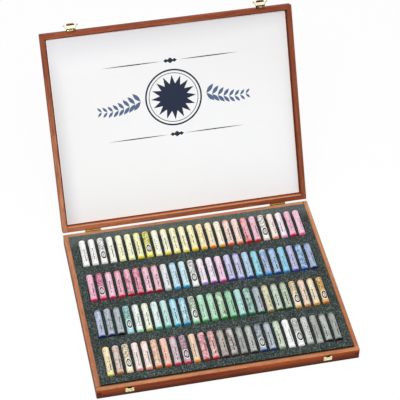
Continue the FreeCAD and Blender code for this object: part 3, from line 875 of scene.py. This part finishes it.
badge_at = 0.27                  # middle of the badge along the paper
letter = letters(28, 30)
from_middle = abs(across - 0.5)
main_line = (from_middle < 0.028) * stretch(0.10, 0.62) * (letter > 0.28)
side_line = (abs(from_middle - 0.085) < 0.015) * stretch(0.05, 0.93) * (letter > 0.48)
outer_line = (abs(from_middle - 0.160) < 0.014) * stretch(0.04, 0.96) * (letter > 0.55)
plain_print = main_line.most(side_line * 0.65).most(outer_line * 0.55)

ring_x, ring_y = from_middle * (1 / 0.125), abs(lengthways - badge_at) * (1 / 0.155)
reach = ring_x * ring_x + ring_y * ring_y
ring = (reach > 0.42) * (reach < 1.05)
bars = (from_middle < 0.05) * (abs(lengthways - badge_at) < 0.085) * ((across * 24).fraction() > 0.5)
block = (from_middle < 0.30) * stretch(0.45, 0.97) * (letters(22, 46) > 0.45)
label_print = (ring + bars).least(1.0).most(block * 0.65)
ink = (label_print * marked).most(plain_print * (1 - marked) * (seed * 0.35 + 0.65))

# %% Paper with its tint, its print and what has rubbed off
pigment_colour = paper.own("pigment", 0)
paper_colour = paper.own("paper", 0)
patches = paper.noise(paper.place(), 150.0, 3.0, 0.65)
rub = paper.own("rub", 2)
smear = paper.ramp(patches + rub * 0.1, 0.56, 0.66) * rub
front_rub = paper.fall(lengthways, 0.0, 0.07)
back_rub = paper.ramp(lengthways + patches * 0.03, 0.935, 0.96) * (seed > 0.5)
rubbed = (smear * 0.7 + front_rub * 0.35).least(0.8).most(back_rub * 0.6)
creases = paper.noise(paper.mapped(paper.place(), Scale=(700, 70, 700)), 1.0, 2.0)
flecks = paper.noise(paper.place(), 620.0, 2.0, 0.65)
fibres = paper.noise(paper.place(), 1800.0, 2.0)
bare_label = marked * (reach < 1.5) * 0.8
# the paper is painted lighter along the creases, a painted highlight
paper.feed("Base Color", paper.layered(
    paper_colour, (rubbed, pigment_colour),
    (paper.ramp(creases, 0.50, 0.72) * 0.3, tone(255, 255, 255)),
    (paper.ramp(flecks, 0.53, 0.68) * 0.26, tone(116, 114, 118)),
    (bare_label, tone(255, 255, 252)), (ink, tone(30, 28, 34))))
paper.bump(creases * 0.8 + fibres * 0.2, 0.00025, 0.6)
print(paper.material.name, "has", len(paper.tree.nodes), "nodes")

# %% Lay out the rows
label_up = -0.5 * math.pi        # roll that turns the middle of the label upwards
print_drift = 0.45               # how far a wrapper may be rolled either way, in radians
length_share = (wrapper_profile[:, 0] - wrapper_profile[0, 0]) / np.ptp(wrapper_profile[:, 0])
for row, row_text in enumerate(chart):
    end_colours, paper_colours, marks, smears = read_chart(row_text)
    shift = chance.uniform(-0.04, 0.04, sticks_per_row) * MM
    rolls = chance.uniform(0, 2 * math.pi, sticks_per_row)
    drift = chance.uniform(-print_drift, print_drift, sticks_per_row)
    label_rolls = label_up + np.where(marks, 0.25 * drift, drift)
    seeds = chance.uniform(0, 1, sticks_per_row)
    centres = np.column_stack([stick_x, row_y[row] + shift, np.full(sticks_per_row, axis_z)])
    body = row_names[row]

    shapes = [(stick(centre, roll), stick_faces()) for centre, roll in zip(centres, rolls)]
    points, faces = gathered(shapes)
    sticks = make_piece(f"row_{row + 1}_sticks", points, faces, body, chalk, 60.0)
    add_attribute(sticks, "pigment", np.repeat(end_colours, len(shapes[0][0]), axis=0))
    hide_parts(body)

    rolled = [wrapper(centre, roll) for centre, roll in zip(centres, label_rolls)]
    points, faces = gathered([(shape, wrapper_faces()) for shape, _ in rolled])
    papers = make_piece(f"row_{row + 1}_wrappers", points, faces, body, paper, 30.0)
    first_shape, turn_share = rolled[0]
    count = len(first_shape)
    places = np.stack(np.broadcast_arrays(turn_share, length_share[:, None]), axis=-1).reshape(-1, 2)
    label = np.column_stack([np.tile(places, (sticks_per_row, 1)), np.repeat(marks, count)])
    add_attribute(papers, "label", label)
    rubs = np.where(smears, 0.85, 0.3)
    own_values = {"pigment": end_colours, "paper": paper_colours, "seed": seeds, "rub": rubs}
    for name, values in own_values.items():
        add_attribute(papers, name, np.repeat(values, count, axis=0))

# %% [markdown]
# ## Lid lining
# The lid carries a soft pad behind a smooth white sheet. Both are slabs with softly rounded edges,
# shaped with the lid shut and then turned open about the pin.

# %% Pad
def lid_piece(name, points, faces, slot, finish):
    """Piece that is shaped on the shut lid and turned open with it."""
    return make_piece(name, turned_about_pin(points, -lid_swing), faces, "lid", finish)


edge = [(2.2, 0.0), (1.0, 0.35), (0.3, 1.1), (0.0, 2.2)]
pad = lid_piece("lid_pad_foam", *slab(*shut_box("lid_pad"), 4 * MM, edge, [(0.2, 0.0)]), "pad_foam",
                foam("white pad foam", tone(206, 205, 202), tone(232, 231, 228)))
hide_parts("lid_pad")

# %% Cover card
card = Finish("satin white card", {
    "Roughness": 0.42, "Specular IOR Level": 0.4, "Coat Weight": 0.1, "Coat Roughness": 0.3,
})
spot = card.axes(card.place(on_lid=True))
mottle = card.noise(card.place(), 26.0, 3.0)
down, rightwards = spot[1] - cover_low[1], spot[0] - cover_low[0]
# painted light and shade: lighter towards the hinge and the right, darker near the front edge and the left
# side
lighter = card.ramp(down + rightwards * 0.2 + mottle * 0.03, 0.02, 0.42)
shaded = card.fall(down + rightwards * 0.07, 6 * MM, 66 * MM) * 0.85
shaded = shaded.most(card.fall(rightwards, 1 * MM, 30 * MM) * 0.5)
from_edge = (cover_high[0] - abs(spot[0])).least(cover_high[1] - spot[1]).least(down * 0.4)
# painted highlight along the edges of the card
painted_edge_highlight = card.fall(from_edge, 0.6 * MM, 1.9 * MM) * 0.8
card.feed("Base Color", card.layered(
    tone(223, 223, 223), (lighter, tone(245, 246, 246)),
    (shaded, tone(202, 202, 207)), (painted_edge_highlight, tone(250, 250, 250))))
card.bump(card.noise(card.place(), 1400.0, 2.0), 0.00003, 0.35)
edge = [(0.25, 0.0), (0.05, 0.08), (0.0, 0.2)]
cover = lid_piece("lid_cover_card", *slab(cover_low, cover_high, 1.2 * MM, edge, [(0.0, 0.0)]),
                  "cover_card", card)
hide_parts("lid_cover_sheet")

# %% [markdown]
# ## A printed ornament
# The lining carries a dark blue ornament: a many-pointed star in a ring, a leafy spray on each side,
# and a rule with lozenges above and below. A very thin plate for each motif keeps its edges sharp
# from close by. Its outline lies in the plane of the lining and is worked out from a formula.

# %% Outlines of the motifs
print_scale = 1.22
print_middle = np.array([0.0, -40.0]) * MM       # on the shut lid: to the right, and towards the hinge
print_depth = (cover_low[2] - 0.05 * MM, cover_low[2] + 0.02 * MM)


def star(points, outer, inner):
    """Radius goes to and fro between outer and inner while the angle goes round."""
    angle = np.arange(2 * points) * math.pi / points
    radius = np.where(np.arange(2 * points) % 2, inner, outer)
    return np.column_stack([radius * np.cos(angle), radius * np.sin(angle)])


def leaf(root, lean, length, width):
    """Pointed leaf: half its width is width / 2 times sin(pi s), s from 0 at the root to 1 at the tip."""
    s = np.linspace(0, 1, 9)
    half = 0.5 * width * np.sin(math.pi * s[1:-1])
    along = length * np.concatenate([s, s[-2:0:-1]])
    aside = np.concatenate([[0], half, [0], -half[::-1]])
    x = root[0] + along * math.cos(lean) - aside * math.sin(lean)
    y = root[1] + along * math.sin(lean) + aside * math.cos(lean)
    return np.column_stack([x, y])


def plate(outline):
    """Closed plate: the outline at two heights, with a wall between them and a face on each."""
    outline = outline * print_scale + print_middle
    x, y = outline.T
    if np.sum(x * np.roll(y, -1) - y * np.roll(x, -1)) < 0:
        outline = outline[::-1]
    return stacked([outline, outline], print_depth)


def hoop(outer, inner, steps=72):
    """Closed flat ring: four circles, each joined to the next and the last to the first."""
    turn = np.linspace(0, 2 * math.pi, steps, endpoint=False)
    around = np.column_stack([np.cos(turn), np.sin(turn)]) * print_scale
    circles = [radius * around + print_middle for radius in (outer, outer, inner, inner)]
    points, _ = stacked(circles, [*print_depth, *reversed(print_depth)])
    return points, grid_faces(5, steps, closed=True) % (4 * steps)


# %% Set out the ornament
rule_rise = 56                   # how far the rules lie from the middle, in mm
leaf_lean = 0.85                 # how far a leaf leans from its stem, in radians
navy_motifs = [hoop(43 * MM, 40.5 * MM), hoop(37.5 * MM, 36.5 * MM), plate(star(16, 34 * MM, 21 * MM))]
slate_motifs = []
for side in (-1, 1):
    for step in range(8):
        root = np.array([side * (50 + 8.5 * step), 10 * math.sin(0.30 * step)]) * MM
        length = (17 - 1.1 * step) * MM
        for lean in (-leaf_lean, leaf_lean):
            outwards = lean if side > 0 else math.pi - lean
            slate_motifs.append(plate(leaf(root, outwards, length, 0.36 * length)))
    for rise in (-rule_rise, rule_rise):
        end = np.array([side * 12, rise]) * MM
        navy_motifs.append(plate(leaf(end, 0 if side > 0 else math.pi, 92 * MM, 1.6 * MM)))
for rise in (-rule_rise, rule_rise):
    for step in (-1, 0, 1):
        size = (4.5 - 1.5 * abs(step)) * MM
        navy_motifs.append(plate(star(2, 1.3 * size, size) + np.array([6.5 * step, rise]) * MM))


def print_ink(name, colour):
    """Slightly uneven ink: noise makes it up to 15 percent lighter or darker."""
    finish = Finish(name, {"Roughness": 0.4, "Specular IOR Level": 0.3})
    wear = finish.noise(finish.place(), 500.0, 2.0)
    finish.feed("Base Color", finish.scaled(colour[:3], wear * 0.3 + 0.85))
    return finish


for name, motifs, colour in (("lid_ornament_navy", navy_motifs, tone(17, 29, 54)),
                             ("lid_ornament_slate", slate_motifs, tone(80, 97, 130))):
    lid_piece(name, *gathered(motifs), "cover_card", print_ink(name, colour))

# %% [markdown]
# ## Floor, light and camera
# The floor is white. The camera sees it as nearly white light, with a share of plain floor mixed in
# that keeps the soft shadow. One large lamp stands above, in front and a little to the left.

# %% Floor and world
floor_reach = 6                  # metres to each side
floor_corners = [(floor_reach * x, floor_reach * y, cad_bounds[0][2])
                 for x, y in ((-1, -1), (1, -1), (1, 1), (-1, 1))]
floor_mesh = bpy.data.meshes.new("floor")
floor_mesh.from_pydata(floor_corners, [], [(0, 1, 2, 3)])
floor = add_object("floor", floor_mesh)
white_floor = Finish("white floor", {
    "Base Color": (1, 1, 1, 1), "Roughness": 0.9, "Specular IOR Level": 0.1,
})
floor_mesh.materials.append(white_floor.material)
glow = white_floor.node("ShaderNodeEmission", {}, {"Color": (1, 1, 1, 1), "Strength": 1.0})
plain_floor = Value(white_floor, white_floor.shader.outputs[0])
glow_share = 0.93                # the rest is plain floor, which shows the shadow
shown = white_floor.node("ShaderNodeMixShader", {}, {
    0: white_floor.seen_as_white() * glow_share, 1: plain_floor, 2: glow,
})
surface = white_floor.tree.nodes["Material Output"].inputs["Surface"]
white_floor.tree.links.new(shown.socket, surface)

world = bpy.data.worlds.new("studio")
scene.world = world
world.use_nodes = True
background = world.node_tree.nodes["Background"]
background.inputs["Color"].default_value = (1, 1, 1, 1)
sky_light = 0.45                 # light from all round on the object; what is seen of it is white
strength = Network(world.node_tree).seen_as_white() * (1 - sky_light) + sky_light
world.node_tree.links.new(strength.socket, background.inputs["Strength"])
print("floor at", round(cad_bounds[0][2] / MM, 2), "mm, world", world.name)

# %% Lamp
light = bpy.data.lights.new("overhead_lamp", "AREA")
light.size = 1.3
light.energy = 46.0
lamp_place = Vector((-0.35, -1.0, 2.32))
aim = (Vector((0, 0.05, 0.05)) - lamp_place).to_track_quat("-Z", "Y")
add_object("overhead_lamp", light).matrix_world = Matrix.LocRotScale(lamp_place, aim, None)
print("lamp of", light.energy, "watts")

# %% Camera
elevation, yaw, roll = np.radians([45.39, 12.76, 1.14]).tolist()
stand = (-0.4600, -1.9593, 2.2909)
ahead = Vector((math.sin(yaw), math.cos(yaw), 0))
forward = ahead * math.cos(elevation) - Vector((0, 0, math.sin(elevation)))
level = Vector((math.cos(yaw), -math.sin(yaw), 0))
upright = level.cross(forward)
right = level * math.cos(roll) + upright * math.sin(roll)
above = upright * math.cos(roll) - level * math.sin(roll)
camera = add_object("camera", bpy.data.cameras.new("camera"))
camera.data.sensor_width = 36
camera.data.lens = 153.55
camera.data.clip_end = 20
turn = Matrix((right, above, -forward)).transposed().to_4x4()
camera.matrix_world = Matrix.Translation(stand) @ turn
scene.camera = camera
print("camera at", stand)

# %% View settings
scene.view_settings.view_transform = "Standard"
